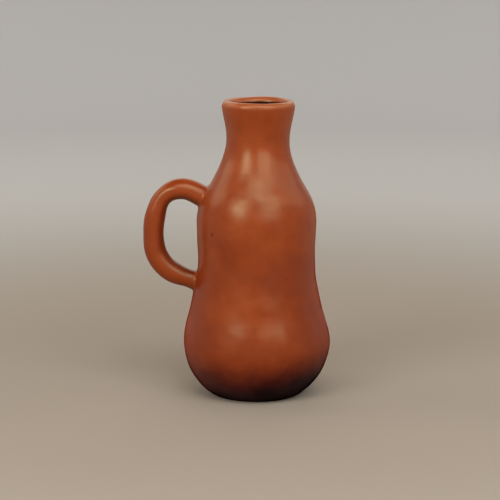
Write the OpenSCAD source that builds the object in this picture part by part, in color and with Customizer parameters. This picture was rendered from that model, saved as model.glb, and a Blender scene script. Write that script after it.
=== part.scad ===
// Hand-built terracotta pitcher: a round, waisted body with a narrow flared neck, a rolled lip
// and one round loop handle. It is made the way a potter makes it, from clay pieces that are
// joined while soft: a floor disc, two wall sections, a neck collar, a lip coil, a rolled handle
// and a small coil of clay worked in round each end of the handle.
//
// Millimetres. +Z is up, the origin is the centre of the flat base, and the handle is at -X.

/* [Body] */
// Height from the table to the crest of the lip
height = 250; // [245:1:260]
// Diameter of the flat base
foot_d = 75; // [66:1:84]
// Diameter of the belly, the widest ring
belly_d = 124; // [118:1:130]
// Height of the belly
belly_z = 43; // [38:1:48]
// Diameter of the waist
waist_d = 98.6; // [95:0.2:102]
// Height of the waist
waist_z = 120; // [115:1:125]
// Diameter of the shoulder
shoulder_d = 100.4; // [98:0.2:106]
// Height of the shoulder
shoulder_z = 147; // [143:1:151]
// Diameter of the narrowest ring of the neck
throat_d = 52.4; // [49:0.2:56]
// Height of the narrowest ring of the neck
throat_z = 217; // [212:1:220]
// Diameter over the lip
lip_d = 61.6; // [58:0.2:65]

/* [Clay] */
// Thickness of the walls
wall_t = 5; // [4:0.5:6]
// Thickness of the floor disc
floor_t = 8; // [6:0.5:10]
// Radius of the rolled lip
lip_r = 3.6; // [3:0.1:4]
// How far each seam between two wall pieces climbs from the outside to the inside
scarf = 4; // [1:0.5:5]

/* [Handle] */
// Diameter of the rolled handle at its upper end
handle_d = 17.2; // [14:0.2:18]
// Diameter of the rolled handle at its lower end
handle_low_d = 16.6; // [13:0.2:17]
// Height at which the handle's centre line leaves the shoulder
handle_z = 169; // [165:1:172]
// How far the luting coil spreads onto the wall round each end of the handle
lute_spread = 3.2; // [1:0.2:4]
// How far the luting coil runs along the handle
lute_run = 5; // [2:0.5:6]

/* [Hidden] */
$fn = 96;

CLAY = "#9a4a28";
DARK_CLAY = "#3a1a18";

// Halfway along the belly's flank and along the shoulder's: how far the wall stands off the straight
// line between the rings below and above, and how far under the middle that point lies
belly_hollow = 1.25;
belly_drop = 3;
shoulder_swell = 3.3;
shoulder_drop = 6;

// Middle of the lip's roll, where the outside of the wall runs into the roll, and how far the
// inside of the wall climbs above the lip's seam before it turns under the roll
lip_z = height - lip_r;
lip_x = lip_d / 2 - lip_r;
roll_drop = 1.4;
roll_tuck = 0.1;
inner_climb = 7;

// Outside of the body: [radius, height, change of radius with height], from the base upwards
KNOTS = [
    [foot_d / 2, 0, 1.6],
    [0.85 * belly_d / 2, belly_z / 3, 0.74],
    [belly_d / 2, belly_z, 0],
    [(belly_d + waist_d) / 4 - belly_hollow, (belly_z + waist_z) / 2 - belly_drop, -0.19],
    [waist_d / 2, waist_z, 0],
    [shoulder_d / 2, shoulder_z, 0],
    [(shoulder_d + throat_d) / 4 + shoulder_swell, (shoulder_z + throat_z) / 2 - shoulder_drop, -0.62],
    [throat_d / 2, throat_z, 0],
    [lip_d / 2 - roll_tuck, lip_z - roll_drop, 0.16],
];

// Heights of the seams on the outside, and the greatest step between two points of the outline
floor_seam = floor_t;
waist_seam = waist_z - 2;
neck_seam = throat_z - 25;
lip_seam = height - 14;
outline_step = 4;

// Handle: where its centre line leaves the wall, the way it heads there, and its bends
handle_x = -45.3;
handle_heading = 149;
HANDLE_BENDS = [[20, 49], [23, 55], [80, 23], [31, 56], [58, 13]]; // [radius, angle] of each arc
handle_root = 15; // straight run inside the wall, at both ends
handle_stem = 8; // straight run outside the wall, at both ends
handle_step = 4; // greatest step along the bends
handle_sides = 32;

// Knot below a height, for the stretch of outline that the height is in
function knot_below(z, i = 0) =
    i + 2 >= len(KNOTS) || KNOTS[i + 1][1] > z ? i : knot_below(z, i + 1);

// Cubic curve between two knots, which keeps their radii and slopes
function between(a, b, t) =
    let (h = b[1] - a[1])
    a[0] * (2 * pow(t, 3) - 3 * pow(t, 2) + 1) + a[2] * h * (pow(t, 3) - 2 * pow(t, 2) + t)
    + b[0] * (3 * pow(t, 2) - 2 * pow(t, 3)) + b[2] * h * (pow(t, 3) - pow(t, 2));

function outer_r(z) =
    let (i = knot_below(z), a = KNOTS[i], b = KNOTS[i + 1])
    between(a, b, (z - a[1]) / (b[1] - a[1]));

function slope(z, d = 0.05) = (outer_r(z + d) - outer_r(z - d)) / (2 * d);

function inner_r(z) = outer_r(z) - wall_t * sqrt(1 + pow(slope(z), 2));

// Even heights from one seam to the next, no further apart than outline_step
function heights(z0, z1) =
    let (n = ceil((z1 - z0) / outline_step))
    [for (i = [0 : n]) z0 + (z1 - z0) * i / n];

function outside(z0, z1) = [for (z = heights(z0, z1)) [outer_r(z), z]];
function inside(z0, z1) = [for (z = heights(z0, z1)) [inner_r(z), z]];
function backwards(list) = [for (i = [len(list) - 1 : -1 : 0]) list[i]];

// Wall from one seam to the next; climb0 and climb1 are how far those seams climb inwards
module wall(z0, z1, climb0, climb1) {
    rotate_extrude()
        polygon(concat(outside(z0, z1), backwards(inside(z0 + climb0, z1 + climb1))));
}

// Everything inside the outer surface up to the neck, to trim the handle against the wall
module solid_body() {
    rotate_extrude()
        polygon(concat(
            [[0, 0]],
            outside(0, floor_seam),
            outside(floor_seam, waist_seam),
            outside(waist_seam, neck_seam),
            [[0, neck_seam]]
        ));
}

// Centre line of the handle: [x, z, heading] at even steps, bend after bend
function centre_of(start, radius) =
    [start[0] - radius * sin(start[2]), start[1] + radius * cos(start[2])];
function along_bend(start, bend, angle) =
    let (c = centre_of(start, bend[0]), h = start[2] + angle)
    [c[0] + bend[0] * sin(h), c[1] - bend[0] * cos(h), h];
function along_line(start, run) =
    [start[0] + run * cos(start[2]), start[1] + run * sin(start[2]), start[2]];

// Where each bend starts, and where the last one ends
function bend_starts(start, i = 0) =
    i == len(HANDLE_BENDS) ? [start]
    : concat([start], bend_starts(along_bend(start, HANDLE_BENDS[i], HANDLE_BENDS[i][1]), i + 1));

// Points of one bend, without the one it shares with the next
function bend_points(start, bend) =
    let (n = ceil(bend[0] * bend[1] * PI / 180 / handle_step))
    [for (k = [0 : n - 1]) along_bend(start, bend, bend[1] * k / n)];

// UPPER_END and LOWER_END are where the centre line meets the wall
UPPER_END = [handle_x, handle_z, handle_heading];
STARTS = bend_starts(along_line(UPPER_END, handle_stem));
LAST = STARTS[len(STARTS) - 1];
LOWER_END = along_line(LAST, handle_stem);
CENTRE_LINE = concat(
    [along_line(UPPER_END, -handle_root), UPPER_END],
    [for (i = [0 : len(HANDLE_BENDS) - 1]) each bend_points(STARTS[i], HANDLE_BENDS[i])],
    [LAST, LOWER_END, along_line(LOWER_END, handle_root)]
);

// Radius of the roll at a ring, which thins evenly from the upper end to the lower one
function roll_radius(k) =
    (handle_d + (handle_low_d - handle_d) * k / (len(CENTRE_LINE) - 1)) / 2;

function ring(p, r) =
    [for (j = [0 : handle_sides - 1])
        let (a = 360 * j / handle_sides)
        [p[0] - r * cos(a) * sin(p[2]), -r * sin(a), p[1] + r * cos(a) * cos(p[2])]];

// Rolled bar of clay, closed by a flat face at each end
module whole_bar() {
    rings = len(CENTRE_LINE);
    sides = handle_sides;
    polyhedron(
        points = [for (k = [0 : rings - 1]) each ring(CENTRE_LINE[k], roll_radius(k))],
        faces = concat(
            [[for (j = [0 : sides - 1]) j]],
            [for (k = [0 : rings - 2]) for (j = [0 : sides - 1])
                let (a = k * sides + j, b = k * sides + (j + 1) % sides)
                each [[a, a + sides, b], [b, a + sides, b + sides]]],
            [[for (j = [sides - 1 : -1 : 0]) (rings - 1) * sides + j]]
        )
    );
}

// Cone of clay round one end of the bar: it starts inside the wall and thins out along the bar.
// end is [x, z, heading] of the bar there, and out is the heading away from the wall.
module lute_cone(end, out, d) {
    inside_run = 9;
    thin_edge = 0.5;
    start = along_line([end[0], end[1], out], -inside_run);
    translate([start[0], 0, start[1]])
        rotate([0, 90 - out, 0])
            cylinder(
                h = inside_run + lute_run,
                r1 = d / 2 + 2 * lute_spread,
                r2 = d / 2 + thin_edge
            );
}

module base() {
    color(DARK_CLAY)
        rotate_extrude()
            polygon(concat([[0, 0]], outside(0, floor_seam), [[0, floor_seam]]));
}

module lower_body() {
    color(CLAY)
        wall(floor_seam, waist_seam, 0, scarf);
}

module upper_body() {
    color(CLAY)
        wall(waist_seam, neck_seam, scarf, scarf);
}

module neck() {
    color(CLAY)
        wall(neck_seam, lip_seam, scarf, scarf);
}

module rim() {
    wall_top = lip_z - roll_drop;
    color(CLAY)
        rotate_extrude() {
            polygon(concat(
                outside(lip_seam, wall_top),
                [[lip_x, lip_z]],
                backwards(inside(lip_seam + scarf, lip_seam + inner_climb))
            ));
            translate([lip_x, lip_z]) circle(r = lip_r);
        }
}

module handle() {
    color(CLAY)
        difference() {
            whole_bar();
            solid_body();
        }
}

module upper_handle_lute() {
    color(CLAY)
        difference() {
            lute_cone(UPPER_END, UPPER_END[2], handle_d);
            whole_bar();
            solid_body();
        }
}

module lower_handle_lute() {
    color(CLAY)
        difference() {
            lute_cone(LOWER_END, LOWER_END[2] - 180, handle_low_d);
            whole_bar();
            solid_body();
        }
}

base();
lower_body();
upper_body();
neck();
rim();
handle();
upper_handle_lute();
lower_handle_lute();
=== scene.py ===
"""Looks of a hand-built terracotta pitcher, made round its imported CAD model.

Everything is in metres in the CAD frame: +Z is up, the origin is the centre of the flat base, the
handle is at -X, and the camera looks along +Y. Each clay piece is one closed mesh that replaces
the CAD node of the same name. All of them are shaped by the same functions, so they meet exactly.
"""
import math

import bmesh
import bpy
import numpy as np
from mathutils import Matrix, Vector


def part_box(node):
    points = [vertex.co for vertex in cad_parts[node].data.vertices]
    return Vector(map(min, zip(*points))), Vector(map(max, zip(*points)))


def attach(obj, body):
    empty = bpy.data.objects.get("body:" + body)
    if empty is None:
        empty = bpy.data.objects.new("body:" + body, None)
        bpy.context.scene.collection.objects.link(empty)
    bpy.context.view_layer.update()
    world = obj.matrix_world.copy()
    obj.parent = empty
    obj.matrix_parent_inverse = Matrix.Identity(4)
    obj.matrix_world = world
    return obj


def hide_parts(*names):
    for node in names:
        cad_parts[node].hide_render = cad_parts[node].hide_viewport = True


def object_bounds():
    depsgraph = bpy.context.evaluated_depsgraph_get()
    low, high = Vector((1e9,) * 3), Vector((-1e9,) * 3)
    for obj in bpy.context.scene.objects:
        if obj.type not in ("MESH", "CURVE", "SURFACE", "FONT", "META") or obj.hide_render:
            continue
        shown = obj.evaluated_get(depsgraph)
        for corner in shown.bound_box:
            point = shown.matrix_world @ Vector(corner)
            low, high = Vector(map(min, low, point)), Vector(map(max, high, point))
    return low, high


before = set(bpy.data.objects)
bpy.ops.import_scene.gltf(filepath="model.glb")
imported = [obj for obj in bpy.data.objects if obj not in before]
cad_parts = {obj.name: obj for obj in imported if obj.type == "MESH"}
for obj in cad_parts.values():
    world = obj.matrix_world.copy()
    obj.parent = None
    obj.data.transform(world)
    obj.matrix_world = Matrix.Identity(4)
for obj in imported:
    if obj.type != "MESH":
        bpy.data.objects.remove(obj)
CAD_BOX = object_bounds()
MM = 0.001

# ---------------------------------------------------------------- sizes, from the frame and listed here

HEIGHT = CAD_BOX[1].z
BELLY_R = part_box("lower_body")[1].y
LIP_OUT_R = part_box("rim")[1].y
FLOOR_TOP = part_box("base")[1].z
WAIST_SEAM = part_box("upper_body")[0].z
NECK_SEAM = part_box("neck")[0].z
LIP_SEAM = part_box("rim")[0].z
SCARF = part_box("lower_body")[1].z - WAIST_SEAM  # climb of each seam, from outside to inside

WALL = 5 * MM
LIP_R = 3.6 * MM
LIP_RISE = 4.8 * MM  # half the height of the roll, which is a little taller than it is thick
LIP_CENTRE = (LIP_OUT_R - LIP_R, HEIGHT - LIP_RISE)
SHADE_FREE_DEPTH = 2.9 * MM  # how far down the mouth, from the crest, the clay has no painted shade
SHADE_FADE_DEPTH = 1.8 * MM   # further depth over which painted shade darkens it

# Outside of the body: radius, height, change of radius with height
KNOTS = np.array([
    (37.5 * MM, 0, 1.6),
    (52.7 * MM, 14.3 * MM, 0.74),
    (BELLY_R, 43 * MM, 0),
    (54.4 * MM, 78.5 * MM, -0.19),
    (49.3 * MM, 120 * MM, 0),
    (50.2 * MM, 147 * MM, 0),
    (41.5 * MM, 176 * MM, -0.62),
    (26.2 * MM, 217 * MM, 0),
    (LIP_OUT_R - 0.1 * MM, HEIGHT - LIP_RISE - 1.1 * MM, 0.18),
])

# The hand-built body isn't quite upright: sideways shift, height, change of shift with height
LEAN_KNOTS = np.array([
    (-0.2 * MM, 0, 0),
    (0.7 * MM, 38 * MM, 0),
    (-0.3 * MM, 85 * MM, 0),
    (0.5 * MM, 122 * MM, 0),
    (0.9 * MM, 152 * MM, 0),
    (0.4 * MM, 192 * MM, 0),
    (1.8 * MM, 228 * MM, 0.02),
    (2.1 * MM, HEIGHT, 0),
])

# Handle: where its centre line leaves the wall and heads (degrees), radius and angle of each bend,
# straight runs inside and outside the wall at both ends, and the radius of the roll at shares of
# its whole length
HANDLE_START = (-45.3 * MM, 168.4 * MM)
HANDLE_HEADING = 149
HANDLE_BENDS = [(20 * MM, 49), (22.3 * MM, 55), (80.8 * MM, 23), (31 * MM, 56), (58 * MM, 10)]
HANDLE_ROOT = 15 * MM
HANDLE_STEM = 8 * MM
HANDLE_SHARES = (0, 0.16, 0.24, 0.32, 0.38, 0.44, 0.5, 0.58, 0.7, 0.8, 0.87, 0.92, 1)
HANDLE_RADII = np.array([9.0, 9.1, 8.8, 7.4, 7.7, 8.6, 8.9, 8.7, 9.3, 8.9, 7.1, 8.4, 8.8]) * MM

# Clay worked in round the handle's ends: how far it runs along the bar and spreads on the wall
UPPER_LUTE = (4 * MM, 3.5 * MM)
LOWER_LUTE = (3 * MM, 2.6 * MM)

# Marks in the front: side (x), height, radius, depth. Grit that was pulled out left small pits,
# which get painted shade too, and the hands left broad hollows and, where the depth is below zero,
# bulges.
GRIT_PITS = [
    (-38 * MM, 141 * MM, 1.7 * MM, 0.7 * MM),
    (24 * MM, 106 * MM, 1.1 * MM, 0.25 * MM),
    (-2 * MM, 21 * MM, 1.5 * MM, 0.4 * MM),
]
HAND_MARKS = [
    (-14 * MM, 136 * MM, 17 * MM, -1.0 * MM),
    (-24 * MM, 84 * MM, 16 * MM, 0.7 * MM),
]

AROUND = 288            # faces round the body
STEP = 1.3 * MM         # height of the faces of the outside
INNER_STEP = 2.6 * MM   # height of the faces of the inside
MOUTH_STEP = 0.8 * MM   # height of the faces of the inside just under the lip
SEAM_GUARD = 0.15 * MM  # first ring beside a seam, so that both sides shade alike
POLE_R = 2 * MM         # smallest ring of the floor disc, round the vertex in its middle
SEAM_STEPS = 4          # faces across a seam
SLOPE_STEP = 0.05 * MM  # half the height over which a slope is measured

# ---------------------------------------------------------------- shape of the worked clay


def waves(seed, count, shortest, longest):
    """Plane waves in random directions, with lengths between the two."""
    rng = np.random.default_rng(seed)
    direction = rng.normal(size=(count, 3))
    direction /= np.linalg.norm(direction, axis=1)[:, None]
    number = 2 * np.pi / rng.uniform(shortest, longest, count)
    return direction * number[:, None], rng.uniform(0, 2 * np.pi, count)


def ripple(points, made):
    """Smooth random field with a spread of about 1, from the waves."""
    number, phase = made
    return np.cos(points @ number.T + phase).sum(axis=-1) * math.sqrt(2 / len(phase))


# Waves that the hands left in the clay, and how far each kind moves the surface
BROAD = waves(11, 20, 55 * MM, 110 * MM)
PALM = waves(12, 28, 20 * MM, 38 * MM)
FINGER = waves(13, 40, 8 * MM, 14 * MM)
INSIDE = waves(14, 24, 14 * MM, 40 * MM)
LIP = waves(15, 12, 30 * MM, 70 * MM)
BROAD_MOVE = 0.40 * MM
PALM_MOVE = 0.13 * MM
FINGER_MOVE = 0.02 * MM
INSIDE_MOVE = 0.35 * MM
LIP_MOVE = 0.3 * MM

# Where they fade: towards the axis, towards the flat base, and for the lip above its seam
CALM_R = 20 * MM
CALM_FOOT = 4 * MM
LIP_START = 2 * MM
LIP_RUN = 8 * MM


def hermite(knots, z):
    """Smooth curve through knots of (value, height, slope)."""
    z = np.asarray(z, float)
    i = np.clip(np.searchsorted(knots[:, 1], z, side="right") - 1, 0, len(knots) - 2)
    a, b = knots[i], knots[i + 1]
    h = b[..., 1] - a[..., 1]
    t = (z - a[..., 1]) / h
    return (
        a[..., 0] * (2 * t**3 - 3 * t**2 + 1) + a[..., 2] * h * (t**3 - 2 * t**2 + t)
        + b[..., 0] * (3 * t**2 - 2 * t**3) + b[..., 2] * h * (t**3 - t**2)
    )


def outer_r(z):
    """Radius of the smooth outside at a height."""
    return hermite(KNOTS, z)


def slope(z):
    """Change of that radius with height."""
    return (outer_r(z + SLOPE_STEP) - outer_r(z - SLOPE_STEP)) / (2 * SLOPE_STEP)


def inner_r(z):
    """Radius of the smooth inside, one wall thickness behind the outside."""
    return outer_r(z) - WALL * np.sqrt(1 + slope(z) ** 2)


def front_y(side, height):
    """Depth (y) of the front of the smooth outside, at a side and height."""
    return -math.sqrt(float(outer_r(height)) ** 2 - side * side)


def worked(points):
    """How far the potter's hands moved the outside in or out, at points on the smooth outline."""
    dent = np.zeros(points.shape[:-1])
    for side, height, radius, depth in GRIT_PITS + HAND_MARKS:
        mark = np.array([side, front_y(side, height), height])
        away = np.linalg.norm(points - mark, axis=-1)
        dent -= depth * np.exp(-((away / radius) ** 2))
    return (
        BROAD_MOVE * ripple(points, BROAD)
        + PALM_MOVE * ripple(points, PALM)
        + FINGER_MOVE * ripple(points, FINGER)
        + dent
    )


def clay_points(r, z, inside, theta):
    """Points of the worked surface. inside runs from 0 on the outside to 1 on the inside."""
    x = r * np.cos(theta)
    y = r * np.sin(theta)
    height = np.broadcast_to(z, x.shape)
    smooth = np.stack([x, y, height], axis=-1)
    move = (1 - inside) * worked(smooth) + inside * INSIDE_MOVE * ripple(smooth, INSIDE)
    move = move * np.clip(r / CALM_R, 0, 1)
    foot = np.clip(z / CALM_FOOT, 0, 1)
    crest = np.clip((z - LIP_SEAM - LIP_START) / LIP_RUN, 0, 1)
    rise = crest * LIP_MOVE * ripple(smooth, LIP)
    scale = (r + move * foot) / np.maximum(r, 1e-9)
    return np.stack([x * scale + hermite(LEAN_KNOTS, height), y * scale, height + rise], axis=-1)


def wall_point(theta, z, depth=0.0):
    """Point of the outside at an angle and height, or that deep under it."""
    r = outer_r(z)
    return clay_points(r, z, 0.0, theta) - depth * wall_normal(theta, z)


def wall_normal(theta, z):
    """Direction out of the smooth outside at an angle and height."""
    tilt = slope(z)
    normal = np.stack([np.cos(theta), np.sin(theta), -tilt * np.ones_like(theta)], axis=-1)
    return normal / np.linalg.norm(normal, axis=-1)[..., None]


def wall_place(points):
    """Angle and height of points beside the wall, and how far outside it they are."""
    x = points[..., 0] - hermite(LEAN_KNOTS, points[..., 2])
    theta = np.arctan2(points[..., 1], x)
    z = points[..., 2]
    there = clay_points(outer_r(z), z, 0.0, theta)
    radius = np.hypot(there[..., 0] - hermite(LEAN_KNOTS, z), there[..., 1])
    return theta, z, np.hypot(x, points[..., 1]) - radius


# ---------------------------------------------------------------- meshes


def grid_faces(rows, columns, close_rows):
    """Quads of a grid whose columns wrap round, and whose rows do too if asked."""
    row = np.arange(rows if close_rows else rows - 1)[:, None]
    column = np.arange(columns)[None, :]
    after_row = (row + 1) % rows
    after_column = (column + 1) % columns
    corners = [
        row * columns + column,
        row * columns + after_column,
        after_row * columns + after_column,
        after_row * columns + column,
    ]
    return np.stack(corners, axis=-1).reshape(-1, 4).tolist()


def fan(ring, centre):
    """Triangles from a ring of vertices to one in its middle."""
    return [[ring[i], ring[(i + 1) % len(ring)], centre] for i in range(len(ring))]


SHARP_EDGE = math.radians(40)


def clay_piece(name, points, faces, slot, painted_shade):
    """One closed piece of clay, which stands for the CAD node of the same name.

    Its last argument gives each point's painted shade: 0 none, 1 inside the handle's loop, 2 in the
    pot.
    """
    mesh = bpy.data.meshes.new(name + "_clay")
    mesh.from_pydata(points.reshape(-1, 3).tolist(), [], faces)
    mesh.attributes.new("painted_shade", "FLOAT", "POINT").data.foreach_set("value", painted_shade)
    shape = bmesh.new()
    shape.from_mesh(mesh)
    bmesh.ops.recalc_face_normals(shape, faces=shape.faces)
    shape.to_mesh(mesh)
    shape.free()
    mesh.shade_smooth()
    mesh.set_sharp_from_angle(angle=SHARP_EDGE)
    mesh.materials.append(MATERIALS[slot])
    piece = bpy.data.objects.new(name + "_clay", mesh)
    bpy.context.scene.collection.objects.link(piece)
    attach(piece, "root")
    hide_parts(name)


def heights(z0, z1, step):
    """Even heights between two seams, with a guard ring just inside each end."""
    even = np.linspace(z0, z1, max(3, round((z1 - z0) / step) + 1))
    return np.concatenate([[z0, z0 + SEAM_GUARD], even[1:-1], [z1 - SEAM_GUARD, z1]])


def outside_profile(z0, z1):
    """Profile of the outside, upwards, as rows of (radius, height, inside)."""
    z = heights(z0, z1, STEP)
    return np.stack([outer_r(z), z, np.zeros_like(z)], axis=1)


def inside_profile(z0, z1):
    """Profile of the inside, downwards."""
    z = heights(z0, z1, INNER_STEP)[::-1]
    return np.stack([inner_r(z), z, np.ones_like(z)], axis=1)


def seam_profile(a, b):
    """Points across a seam face, between the end points of the two surfaces."""
    t = np.linspace(0, 1, SEAM_STEPS + 1)[1:-1, None]
    return a + (b - a) * t


def turn(profile):
    """Points of a profile of (radius, height, inside) turned about the body's axis."""
    theta = np.linspace(0, 2 * np.pi, AROUND, endpoint=False)[None, :]
    r, z, inside = (profile[:, k][:, None] for k in range(3))
    return clay_points(r, z, inside, theta)


def painted_pot_shade(profile):
    """Painted shade of each point of a turned profile, by how far it counts as inside the pot,
    below the lip's crest.
    """
    depth = np.clip((HEIGHT - SHADE_FREE_DEPTH - profile[:, 1]) / SHADE_FADE_DEPTH, 0, 1)
    return np.repeat(2 * profile[:, 2] * depth, AROUND)


def wall_piece(name, z0, z1, climb0, climb1):
    """Wall from one seam to the next; the climbs are how far those seams rise inwards."""
    out = outside_profile(z0, z1)
    inner = inside_profile(z0 + climb0, z1 + climb1)
    top = seam_profile(out[-1], inner[0])
    bottom = seam_profile(inner[-1], out[0])
    profile = np.concatenate([out, top, inner, bottom])
    faces = grid_faces(len(profile), AROUND, True)
    clay_piece(name, turn(profile), faces, "terracotta", painted_pot_shade(profile))


# Angles round the roll of the lip, from straight outwards and up over the crest: where its outside
# stops, where its inside starts, and where it ends in the mouth
ROLL_OUTSIDE = math.radians(60)
ROLL_INSIDE = math.radians(160)
ROLL_END = math.radians(200)
ROLL_RINGS = 25


def rim_piece():
    """Wall up to the roll, the roll itself, and the undercut back to the inner wall."""
    centre_r, centre_z = LIP_CENTRE
    wall_top = KNOTS[-1][1]
    out = outside_profile(LIP_SEAM, wall_top)
    start = math.asin((wall_top - centre_z) / LIP_RISE)
    angle = np.linspace(start, ROLL_END, ROLL_RINGS + 1)[1:]
    roll = np.stack([
        centre_r + LIP_R * np.cos(angle),
        centre_z + LIP_RISE * np.sin(angle),
        np.clip((angle - ROLL_OUTSIDE) / (ROLL_INSIDE - ROLL_OUTSIDE), 0, 1),
    ], axis=1)
    low = LIP_SEAM + SCARF
    inner_slope = (inner_r(low + SLOPE_STEP) - inner_r(low - SLOPE_STEP)) / (2 * SLOPE_STEP)
    undercut = np.array([
        (float(inner_r(low)), low, float(inner_slope)),
        (roll[-1][0], roll[-1][1], -math.tan(ROLL_END - math.pi)),
    ])
    z = heights(low, roll[-1][1], MOUTH_STEP)[::-1][1:]
    inner = np.stack([hermite(undercut, z), z, np.ones_like(z)], axis=1)
    bottom = seam_profile(inner[-1], out[0])
    profile = np.concatenate([out, roll, inner, bottom])
    faces = grid_faces(len(profile), AROUND, True)
    clay_piece("rim", turn(profile), faces, "terracotta", painted_pot_shade(profile))


UNDER_RINGS = 23  # of the underside
FLOOR_RINGS = 29  # of the floor inside the pot


def base_piece():
    """Floor disc: flat underneath, with its edge rounded up into the belly."""
    edge_r = float(outer_r(0.0))
    under_r = np.linspace(POLE_R, edge_r, UNDER_RINGS + 1)[:-1]
    under = np.stack([under_r, np.zeros_like(under_r), np.zeros_like(under_r)], axis=1)
    side = outside_profile(0, FLOOR_TOP)
    top_r = np.linspace(side[-1][0], POLE_R, FLOOR_RINGS + 1)[1:]
    rim_share = np.clip((side[-1][0] - top_r) / WALL, 0, 1)
    top = np.stack([top_r, np.full_like(top_r, FLOOR_TOP), rim_share], axis=1)
    profile = np.concatenate([under, side, top])
    rings = turn(profile)
    count = len(rings)
    poles = np.array([(0, 0, 0), (0, 0, FLOOR_TOP)]) + rings[[0, -1]].mean(axis=1) * (1, 1, 0)
    points = np.concatenate([rings.reshape(-1, 3), poles])
    first = list(range(AROUND))
    last = list(range((count - 1) * AROUND, count * AROUND))
    faces = grid_faces(count, AROUND, False)
    faces += fan(first, count * AROUND) + fan(last, count * AROUND + 1)
    # Painted shade on the floor inside the pot
    painted_shade = np.append(painted_pot_shade(profile), [0, 2])
    clay_piece("base", points, faces, "smoked_terracotta", painted_shade)


# ---------------------------------------------------------------- handle and its luting coils

HANDLE_AROUND = 72  # faces round the bar
HANDLE_RINGS = 150  # rings along the bar, from wall to wall
LINE_POINTS = 700  # points of its centre line
SEARCH_POINTS = 400  # points tried, from each end, to find where it leaves the wall
CAP_PULLS = (0.85, 0.65, 0.4, 0.0)  # sizes of the rings that close an end, down to its middle
CAP_DEPTH = 0.2 * MM  # how deep under the wall's surface the ends lie

LUTE_AROUND = 96
LUTE_RINGS = 15
LUTE_DEPTH = 0.3 * MM  # how deep the coil is sunk into the bar and the wall
LUTE_UNEVEN = 0.18  # share by which its size varies round the bar

# Waves along the handle, and how far they move its surface and its centre line
HANDLE_LUMPS = waves(21, 24, 14 * MM, 34 * MM)
HANDLE_SWAY = waves(22, 8, 60 * MM, 120 * MM)
LUMP_MOVE = 0.16 * MM
SWAY_MOVE = 0.5 * MM


def eased(values, reach):
    """The values, each averaged with its neighbours up to that many places away."""
    window = np.hanning(2 * reach + 1)
    return np.convolve(np.pad(values, reach, mode="edge"), window / window.sum(), mode="valid")


def handle_line():
    """Centre line of the handle: points, headings, distance along, and radius of the roll."""
    lengths = [radius * math.radians(angle) for radius, angle in HANDLE_BENDS]
    turns = [angle for _, angle in HANDLE_BENDS]
    straight = HANDLE_ROOT + HANDLE_STEM
    ends = straight + np.concatenate([[0], np.cumsum(lengths)])
    headings = HANDLE_HEADING + np.concatenate([[0], np.cumsum(turns)])
    total = ends[-1] + straight
    along = np.linspace(0, total, LINE_POINTS)
    easing = round(HANDLE_STEM / (total / LINE_POINTS))
    heading = eased(np.radians(np.interp(along, ends, headings)), easing)
    radius = eased(np.interp(along / total, HANDLE_SHARES, HANDLE_RADII), easing)
    step = total / (LINE_POINTS - 1)
    x = np.concatenate([[0], np.cumsum(np.cos(heading[:-1]) * step)])
    z = np.concatenate([[0], np.cumsum(np.sin(heading[:-1]) * step)])
    at_wall = np.searchsorted(along, HANDLE_ROOT)
    x += HANDLE_START[0] - x[at_wall]
    z += HANDLE_START[1] - z[at_wall]
    line = np.stack([x, np.zeros_like(x), z], axis=1)
    line[:, 1] = SWAY_MOVE * ripple(line, HANDLE_SWAY)
    return line, heading, along, radius


LINE, HEADING, ALONG, ROLL_RADIUS = handle_line()


def handle_point(along, phi):
    """Point of the handle's surface at a distance along it and an angle round it."""
    centre = np.stack([np.interp(along, ALONG, LINE[:, k]) for k in range(3)], axis=-1)
    heading = np.interp(along, ALONG, HEADING)
    across = np.stack([-np.sin(heading), np.zeros_like(heading), np.cos(heading)], axis=-1)
    side = np.array([0.0, 1.0, 0.0])
    outward = np.cos(phi)[..., None] * across + np.sin(phi)[..., None] * side
    radius = np.interp(along, ALONG, ROLL_RADIUS)
    smooth = centre + radius[..., None] * outward
    lump = LUMP_MOVE * ripple(smooth, HANDLE_LUMPS) + FINGER_MOVE * ripple(smooth, FINGER)
    return smooth + lump[..., None] * outward


def wall_crossings(phi, from_end):
    """Distance along the handle at which each line of its surface leaves the wall."""
    half = ALONG[-1] / 2
    reach = np.linspace(0, half, SEARCH_POINTS)[:, None]
    along = ALONG[-1] - reach if from_end else reach
    along = np.broadcast_to(along, (SEARCH_POINTS, len(phi)))
    _, _, out = wall_place(handle_point(along, np.broadcast_to(phi, along.shape)))
    first = np.argmax(out > 0, axis=0)
    column = np.arange(len(phi))
    a, b = out[first - 1, column], out[first, column]
    share = -a / (b - a)
    return along[first - 1, column] + (along[first, column] - along[first - 1, column]) * share


def end_cap(ring):
    """Rings that close an end of the bar, just under the wall's surface, and their middle."""
    middle = ring.mean(axis=0)
    rings = []
    for pull in CAP_PULLS:
        theta, z, _ = wall_place(middle + (ring - middle) * pull)
        rings.append(wall_point(theta, z, CAP_DEPTH))
    return rings[:-1], rings[-1][0]


def handle_piece():
    """The rolled bar, cut to the wall at both ends."""
    phi = np.linspace(0, 2 * np.pi, HANDLE_AROUND, endpoint=False)
    upper = wall_crossings(phi, False)
    lower = wall_crossings(phi, True)
    share = np.linspace(0, 1, HANDLE_RINGS)[:, None]
    along = upper + (lower - upper) * share
    bar = handle_point(along, np.broadcast_to(phi, along.shape))
    upper_cap, upper_pole = end_cap(bar[0])
    lower_cap, lower_pole = end_cap(bar[-1])
    rings = np.concatenate([upper_cap[::-1], bar, lower_cap])
    count = len(rings)
    points = np.concatenate([rings.reshape(-1, 3), [upper_pole, lower_pole]])
    faces = grid_faces(count, HANDLE_AROUND, False)
    faces += fan(list(range(HANDLE_AROUND)), count * HANDLE_AROUND)
    last = list(range((count - 1) * HANDLE_AROUND, count * HANDLE_AROUND))
    faces += fan(last, count * HANDLE_AROUND + 1)
    # Painted shade on the side of the bar that faces into the loop
    painted_shade = np.append(np.tile(np.clip(np.cos(phi), 0, 1), count), [0, 0])
    clay_piece("handle", points, faces, "terracotta", painted_shade)


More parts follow.
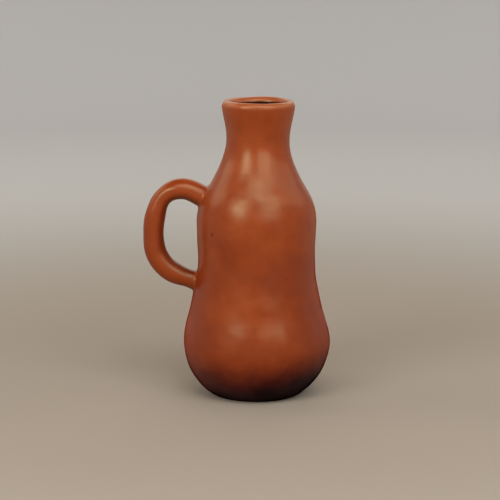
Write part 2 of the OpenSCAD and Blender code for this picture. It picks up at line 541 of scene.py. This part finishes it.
def lute_piece(name, size, from_end):
    """Clay worked in round one end of the handle: a hollow curve from the bar onto the wall."""
    run, spread_out = size
    phi = np.linspace(0, 2 * np.pi, LUTE_AROUND, endpoint=False)
    crossing = wall_crossings(phi, from_end)
    outwards = -1 if from_end else 1
    corner = handle_point(crossing, phi)
    theta, z, _ = wall_place(corner)
    normal = wall_normal(theta, z)
    axis = corner.mean(axis=0)
    spread = corner - axis
    spread -= (spread * normal).sum(axis=1)[:, None] * normal
    spread /= np.linalg.norm(spread, axis=1)[:, None]
    uneven = 1 + LUTE_UNEVEN * ripple(corner, HANDLE_LUMPS)[:, None]
    far_theta, far_z, _ = wall_place(corner + spread * spread_out * uneven)
    rings = []
    on_bar = handle_point(crossing + outwards * run * uneven[:, 0], phi)
    on_wall = wall_point(far_theta, far_z)
    for t in np.linspace(0, 1, LUTE_RINGS):
        rings.append(on_bar * (1 - t) ** 2 + corner * 2 * t * (1 - t) + on_wall * t**2)
    bar_axis = np.stack([np.interp(crossing, ALONG, LINE[:, k]) for k in range(3)], axis=-1)
    inwards = bar_axis - corner
    inwards /= np.linalg.norm(inwards, axis=1)[:, None]
    rings.append(wall_point(far_theta, far_z, LUTE_DEPTH))
    rings.append(corner + (inwards - normal) * LUTE_DEPTH)
    rings.append(on_bar + inwards * LUTE_DEPTH)
    faces = grid_faces(len(rings), LUTE_AROUND, True)
    clay_piece(name, np.stack(rings), faces, "terracotta", np.zeros(len(rings) * LUTE_AROUND))


# ---------------------------------------------------------------- materials


class Shader:
    """Short way to add nodes to a material and link them."""

    def __init__(self, name):
        self.material = bpy.data.materials.new(name)
        self.material.use_nodes = True
        self.tree = self.material.node_tree
        self.surface = self.tree.nodes["Principled BSDF"]

    def add(self, kind, inputs=None, **settings):
        node = self.tree.nodes.new("ShaderNode" + kind)
        for key, value in settings.items():
            setattr(node, key, value)
        for key, value in (inputs or {}).items():
            self.put(node.inputs[key], value)
        return node

    def put(self, socket, value):
        """Link a node's output to a socket, or set the socket to a constant."""
        if isinstance(value, bpy.types.NodeSocket):
            self.tree.links.new(value, socket)
        else:
            socket.default_value = value

    def math(self, operation, a, b):
        return self.add("Math", {0: a, 1: b}, operation=operation).outputs[0]

    def distance(self, a, b):
        return self.add("VectorMath", {0: a, 1: b}, operation="DISTANCE").outputs["Value"]

    def noise(self, where, scale, detail, roughness):
        made = {"Vector": where, "Scale": scale, "Detail": detail, "Roughness": roughness}
        return self.add("TexNoise", made).outputs[0]

    def ramp(self, value, stops):
        """Colour ramp through stops of (place, colour)."""
        node = self.add("ValToRGB", {"Fac": value})
        band = node.color_ramp
        while len(band.elements) < len(stops):
            band.elements.new(0.5)
        for element, (place, colour) in zip(band.elements, stops):
            element.position = place
            element.color = (*colour, 1)
        return node.outputs[0]

    def level(self, value, low, high, to_low=0.0, to_high=1.0):
        """Smooth step from one level to another as the value goes from low to high."""
        made = {0: value, 1: low, 2: high, 3: to_low, 4: to_high}
        return self.add("MapRange", made, interpolation_type="SMOOTHSTEP").outputs[0]

    def mix(self, share, a, b):
        """Colour a with a share of colour b."""
        node = self.add("Mix", data_type="RGBA", blend_type="MIX")
        self.put(node.inputs[0], share)
        for socket, value in ((node.inputs[6], a), (node.inputs[7], b)):
            self.put(socket, value if isinstance(value, bpy.types.NodeSocket) else (*value, 1))
        return node.outputs[2]


# Colours of the clay: burnished, painted light on the lip's crest, painted shade, darker painted
# shade in the pot
CLAY_DEEP = (0.188, 0.0205, 0.0020)
CLAY_MID = (0.230, 0.029, 0.0033)
CLAY_PALE = (0.272, 0.0405, 0.0058)
CLAY_PAINTED_CREST_LIGHT = (0.38, 0.110, 0.040)
CLAY_PAINTED_SHADE = (0.075, 0.0085, 0.0040)
CLAY_PAINTED_POT_SHADE = (0.022, 0.0030, 0.0020)
CLAY_TONES = [(0.3, CLAY_DEEP), (0.5, CLAY_MID), (0.7, CLAY_PALE)]

# Noise: scale, detail, roughness
CLOUD_NOISE = (24, 3.0, 0.55)
PATCH_NOISE = (95, 3.0, 0.6)
FINE_NOISE = (900, 4.0, 0.65)
SMOKE_NOISE = (30, 4.0, 0.55)
STROKE_NOISE = (1.0, 2.0, 0.5)
STROKE_STRETCH = (26, 26, 210)  # scale along each axis, so that strokes run round the pot
CLOUD_SHARE = 0.8  # share of the tone that clouds give; patches give the rest

# Spots of painted shade, painted light where the change is above zero: side (x), depth (y), height,
# radius, change of tone
PAINTED_SHADE_AND_LIGHT_SPOTS = [
    (32 * MM, -38 * MM, 104 * MM, 42 * MM, -0.32),
    (-32 * MM, -39 * MM, 106 * MM, 20 * MM, -0.16),
    (-43 * MM, -40 * MM, 58 * MM, 28 * MM, -0.2),
    (48 * MM, -34 * MM, 60 * MM, 30 * MM, -0.18),
    (-14 * MM, -48 * MM, 150 * MM, 24 * MM, 0.1),
]

# Colours of the smoked foot, from the blackest up to where the clay is clear again
SMOKE = [
    (0.0, (0.006, 0.0006, 0.0016)),
    (0.18, (0.017, 0.0009, 0.0026)),
    (0.40, (0.050, 0.0026, 0.0030)),
    (0.66, (0.100, 0.0090, 0.0035)),
    (1.0, (0.190, 0.022, 0.0040)),
]
SMOKE_WANDER = 34 * MM  # most that its edge wanders, from lowest to highest
SMOKE_TILT = 0.08  # how much higher its edge lies for each unit of length towards +X

# Heights between which the smoke's colours run, the clear clay takes over, the gloss grows, the
# sheen grows, and the crest of the lip takes painted light
SMOKE_SPAN = (-2 * MM, 46 * MM)
CLEAR_SPAN = (27 * MM, 62 * MM)
GLOSS_SPAN = (0.0, 50 * MM)
SHEEN_SPAN = (85 * MM, 165 * MM)
CREST_SPAN = (HEIGHT - 6 * MM, HEIGHT - 1.5 * MM)

# Gloss and sheen of the burnished clay, and how deep its grain and burnishing strokes are
CLAY_IOR = 1.47
GLOSS_TINT = (1.0, 1.0, 0.6, 1.0)
GLOSS_SMOKED = 0.04
GLOSS_CLEAR = 0.5
ROUGHNESS = (0.285, 0.325)
STROKE_ROUGHNESS = 0.04  # added in the burnishing strokes
SHEEN_MOST = 0.2
SHEEN_ROUGHNESS = 0.35
SHEEN_TINT = (1.0, 0.78, 0.4, 1.0)
GRAIN_DEPTH = 0.02 * MM
STROKE_DEPTH = 0.11 * MM
BUMP_STRENGTH = 0.5


def terracotta(name):
    """Burnished red clay with cloudy tone, burnishing strokes, grit, a smoke-blackened foot, and
    painted light and shade.
    """
    s = Shader(name)
    where = s.add("TexCoord").outputs["Object"]
    x, _, z = s.add("SeparateXYZ", {0: where}).outputs

    cloud = s.noise(where, *CLOUD_NOISE)
    patch = s.noise(where, *PATCH_NOISE)
    fine = s.noise(where, *FINE_NOISE)
    from_clouds = s.math("MULTIPLY", cloud, CLOUD_SHARE)
    tone = s.math("ADD", from_clouds, s.math("MULTIPLY", patch, 1 - CLOUD_SHARE))
    # Painted shade in spots on the front, and painted light in the one whose change is above zero
    for spot_x, spot_y, spot_z, radius, change in PAINTED_SHADE_AND_LIGHT_SPOTS:
        away = s.distance(where, (spot_x, spot_y, spot_z))
        tone = s.math("ADD", tone, s.level(away, 0.0, radius, change, 0.0))
    clay = s.ramp(tone, CLAY_TONES)

    stretched = s.add("Mapping", {"Vector": where, "Scale": STROKE_STRETCH}).outputs[0]
    strokes = s.noise(stretched, *STROKE_NOISE)
    clay = s.mix(s.level(strokes, 0.45, 0.75, 0.0, 0.06), clay, CLAY_DEEP)
    clay = s.mix(s.level(fine, 0.6, 0.8, 0.0, 0.03), clay, CLAY_DEEP)

    # Painted shade in the grit pits
    for side, height, radius, _ in GRIT_PITS:
        pit = (side + float(hermite(LEAN_KNOTS, height)), front_y(side, height), height)
        away = s.distance(where, pit)
        clay = s.mix(s.level(away, 0.4 * radius, 1.3 * radius, 0.8, 0.0), clay, CLAY_PAINTED_SHADE)

    # Painted highlight: the crest of the lip is made paler, as light from above makes it
    clay = s.mix(s.level(z, *CREST_SPAN, 0.0, 0.5), clay, CLAY_PAINTED_CREST_LIGHT)

    painted_shade = s.add("Attribute", attribute_name="painted_shade").outputs["Fac"]
    # Painted shade inside the handle's loop
    clay = s.mix(s.level(painted_shade, 0.1, 0.95, 0.0, 0.6), clay, CLAY_PAINTED_SHADE)
    # Darker painted shade down in the pot
    clay = s.mix(s.level(painted_shade, 1.0, 2.0, 0.0, 0.95), clay, CLAY_PAINTED_POT_SHADE)

    # Height above the smoke's uneven edge
    wander = s.math("SUBTRACT", 0.5, s.noise(where, *SMOKE_NOISE))
    climb = s.math("ADD", z, s.math("MULTIPLY", wander, SMOKE_WANDER))
    climb = s.math("SUBTRACT", climb, s.math("MULTIPLY", x, SMOKE_TILT))
    smoked = s.ramp(s.level(climb, *SMOKE_SPAN), SMOKE)
    s.put(s.surface.inputs["Base Color"], s.mix(s.level(climb, *CLEAR_SPAN), smoked, clay))

    # Gloss falls off in the smoke, in the pot, and where the clay is seen at a glancing angle,
    # other than on faces that look upwards
    patchy = s.level(patch, 0.35, 0.65, *ROUGHNESS)
    rough = s.math("ADD", patchy, s.level(strokes, 0.4, 0.7, 0.0, STROKE_ROUGHNESS))
    s.put(s.surface.inputs["Roughness"], rough)
    s.surface.inputs["IOR"].default_value = CLAY_IOR
    s.surface.inputs["Specular Tint"].default_value = GLOSS_TINT
    # Gloss and sheen fade out where the pot's painted shade is
    beyond_pot_shade = s.level(painted_shade, 1.0, 2.0, 1.0, 0.0)
    facing = s.add("LayerWeight", {"Blend": 0.5}).outputs["Facing"]
    upwards = s.add("SeparateXYZ", {0: s.add("NewGeometry").outputs["Normal"]}).outputs[2]
    glance = s.math("MAXIMUM", s.level(facing, 0.35, 0.85, 1.0, 0.0), s.level(upwards, 0.25, 0.6))
    gloss = s.math("MULTIPLY", s.level(climb, *GLOSS_SPAN, GLOSS_SMOKED, GLOSS_CLEAR), glance)
    s.put(s.surface.inputs["Specular IOR Level"], s.math("MULTIPLY", gloss, beyond_pot_shade))

    sheen = s.math("MULTIPLY", s.level(z, *SHEEN_SPAN, 0.0, SHEEN_MOST), beyond_pot_shade)
    s.put(s.surface.inputs["Sheen Weight"], sheen)
    s.surface.inputs["Sheen Roughness"].default_value = SHEEN_ROUGHNESS
    s.surface.inputs["Sheen Tint"].default_value = SHEEN_TINT

    grain = s.add("Bump", {"Height": fine, "Strength": BUMP_STRENGTH, "Distance": GRAIN_DEPTH})
    drawn = s.add("Bump", {"Height": strokes, "Strength": BUMP_STRENGTH, "Distance": STROKE_DEPTH})
    s.put(drawn.inputs["Normal"], grain.outputs[0])
    s.put(s.surface.inputs["Normal"], drawn.outputs[0])
    return s.material


MATERIALS = {slot: terracotta(slot) for slot in ("terracotta", "smoked_terracotta")}

# ---------------------------------------------------------------- the pitcher

base_piece()
wall_piece("lower_body", FLOOR_TOP, WAIST_SEAM, 0, SCARF)
wall_piece("upper_body", WAIST_SEAM, NECK_SEAM, SCARF, SCARF)
wall_piece("neck", NECK_SEAM, LIP_SEAM, SCARF, SCARF)
rim_piece()
handle_piece()
lute_piece("upper_handle_lute", UPPER_LUTE, False)
lute_piece("lower_handle_lute", LOWER_LUTE, True)

# ---------------------------------------------------------------- stage, light and camera

FLOOR_R = 1.75  # where the floor ends and the bend up into the wall starts
BEND_R = 0.6
BEND_POINTS = 24
WALL_TOP = 2.6
FLOOR_RING_R = (0.8, 0.2)
PAPER_AROUND = 128

# The paper's colour close to the pitcher and far from it, the distances between which it changes,
# and its own faint light, which grows with the distance too
PAPER_NEAR = (0.335, 0.28, 0.23)
PAPER_FAR = (0.50, 0.485, 0.475)
FAR_SPAN = (0.25, 1.1)
GLOW_SPAN = (0.5, 2.2)
GLOW_MOST = 0.3


def paper():
    """Matt paper: warm round the pitcher, paler and faintly lit further out."""
    s = Shader("backdrop_paper")
    away = s.distance(s.add("TexCoord").outputs["Object"], (0.0, 0.0, 0.0))
    far = s.level(away, *FAR_SPAN)
    s.put(s.surface.inputs["Base Color"], s.mix(far, PAPER_NEAR, PAPER_FAR))
    s.surface.inputs["Roughness"].default_value = 0.9
    s.surface.inputs["Specular IOR Level"].default_value = 0.2
    s.surface.inputs["Emission Color"].default_value = (*PAPER_FAR, 1)
    glow = s.level(away, *GLOW_SPAN, 0.0, GLOW_MOST)
    s.put(s.surface.inputs["Emission Strength"], glow)
    return s.material


def backdrop():
    """Paper that runs out along the floor and bends up into a wall all round."""
    bend = [
        (FLOOR_R + BEND_R * math.sin(a), BEND_R - BEND_R * math.cos(a))
        for a in np.linspace(0, math.pi / 2, BEND_POINTS)
    ]
    floor = [(r, 0) for r in FLOOR_RING_R]
    profile = np.array([(FLOOR_R + BEND_R, WALL_TOP), *bend[::-1], *floor])
    theta = np.linspace(0, 2 * np.pi, PAPER_AROUND, endpoint=False)
    x = profile[:, :1] * np.cos(theta)
    y = profile[:, :1] * np.sin(theta)
    z = np.broadcast_to(profile[:, 1:], x.shape)
    points = np.append(np.stack([x, y, z], axis=-1).reshape(-1, 3), [[0, 0, 0]], axis=0)
    middle = len(points) - 1
    faces = grid_faces(len(profile), PAPER_AROUND, False)
    faces += fan(list(range(middle - PAPER_AROUND, middle)), middle)
    mesh = bpy.data.meshes.new("backdrop")
    mesh.from_pydata(points.tolist(), [], faces)
    mesh.shade_smooth()
    mesh.materials.append(paper())
    bowl = bpy.data.objects.new("backdrop", mesh)
    bpy.context.scene.collection.objects.link(bowl)


# Soft boxes: azimuth and elevation in degrees, width, height, watts, colour. All of them are the
# same way off from the middle of the pitcher.
LIGHT_AWAY = 1.7
LIGHTS = {
    "left_window": (-39, 28, 0.8, 0.42, 10.8, (1.0, 0.98, 0.92)),
    "right_window": (27, 32, 1.1, 1.0, 10.5, (1.0, 1.0, 0.98)),
    "far_right_window": (62, 37, 1.1, 0.65, 4, (1.0, 1.0, 0.98)),
    "top_window": (-8, 52, 0.9, 0.5, 6.5, (1.0, 1.0, 0.96)),
    "top_right_window": (28, 56, 0.8, 0.4, 3.5, (1.0, 1.0, 0.97)),
    "back_window": (180, 40, 2.2, 1.0, 9, (1.0, 0.96, 0.85)),
    "left_fill": (-105, 32, 0.9, 0.8, 4, (1.0, 0.94, 0.78)),
    "right_fill": (105, 32, 0.9, 0.8, 2.5, (1.0, 0.94, 0.78)),
}
SKY_COLOUR = (1.0, 1.0, 1.0, 1.0)
SKY_STRENGTH = 0.03


def soft_light(name, azimuth, elevation, width, height, power, colour):
    """Soft box aimed at the middle of the pitcher; azimuth 0 is the camera's side, + is right."""
    light = bpy.data.lights.new(name, "AREA")
    light.shape = "RECTANGLE"
    light.size = width
    light.size_y = height
    light.energy = power
    light.color = colour
    lamp = bpy.data.objects.new(name, light)
    a = math.radians(azimuth)
    e = math.radians(elevation)
    away = Vector((math.sin(a) * math.cos(e), -math.cos(a) * math.cos(e), math.sin(e)))
    lamp.location = Vector((0, 0, HEIGHT / 2)) + away * LIGHT_AWAY
    lamp.rotation_euler = away.to_track_quat("Z", "Y").to_euler()
    bpy.context.scene.collection.objects.link(lamp)


def surroundings():
    """Faint even light from all round."""
    world = bpy.data.worlds.new("studio")
    world.use_nodes = True
    sky = world.node_tree.nodes["Background"]
    sky.inputs["Color"].default_value = SKY_COLOUR
    sky.inputs["Strength"].default_value = SKY_STRENGTH
    bpy.context.scene.world = world


CAMERA_AWAY = 1.70
CAMERA_HEIGHT = 0.45
CAMERA_SIDE = -0.0053
CAMERA_PITCH = 10.9  # degrees down
CAMERA_LENS = 147.4  # millimetres, like the sensor's width
SENSOR_WIDTH = 36


def camera():
    """Camera in front of the pitcher, a little above it and tilted down."""
    data = bpy.data.cameras.new("camera")
    data.lens = CAMERA_LENS
    data.sensor_width = SENSOR_WIDTH
    data.clip_end = 20
    view = bpy.data.objects.new("camera", data)
    view.location = (CAMERA_SIDE, -CAMERA_AWAY, CAMERA_HEIGHT)
    view.rotation_euler = (math.radians(90 - CAMERA_PITCH), 0, 0)
    bpy.context.scene.collection.objects.link(view)
    bpy.context.scene.camera = view


backdrop()
for light_name, settings in LIGHTS.items():
    soft_light(light_name, *settings)
surroundings()
camera()
bpy.context.scene.view_settings.view_transform = "Standard"
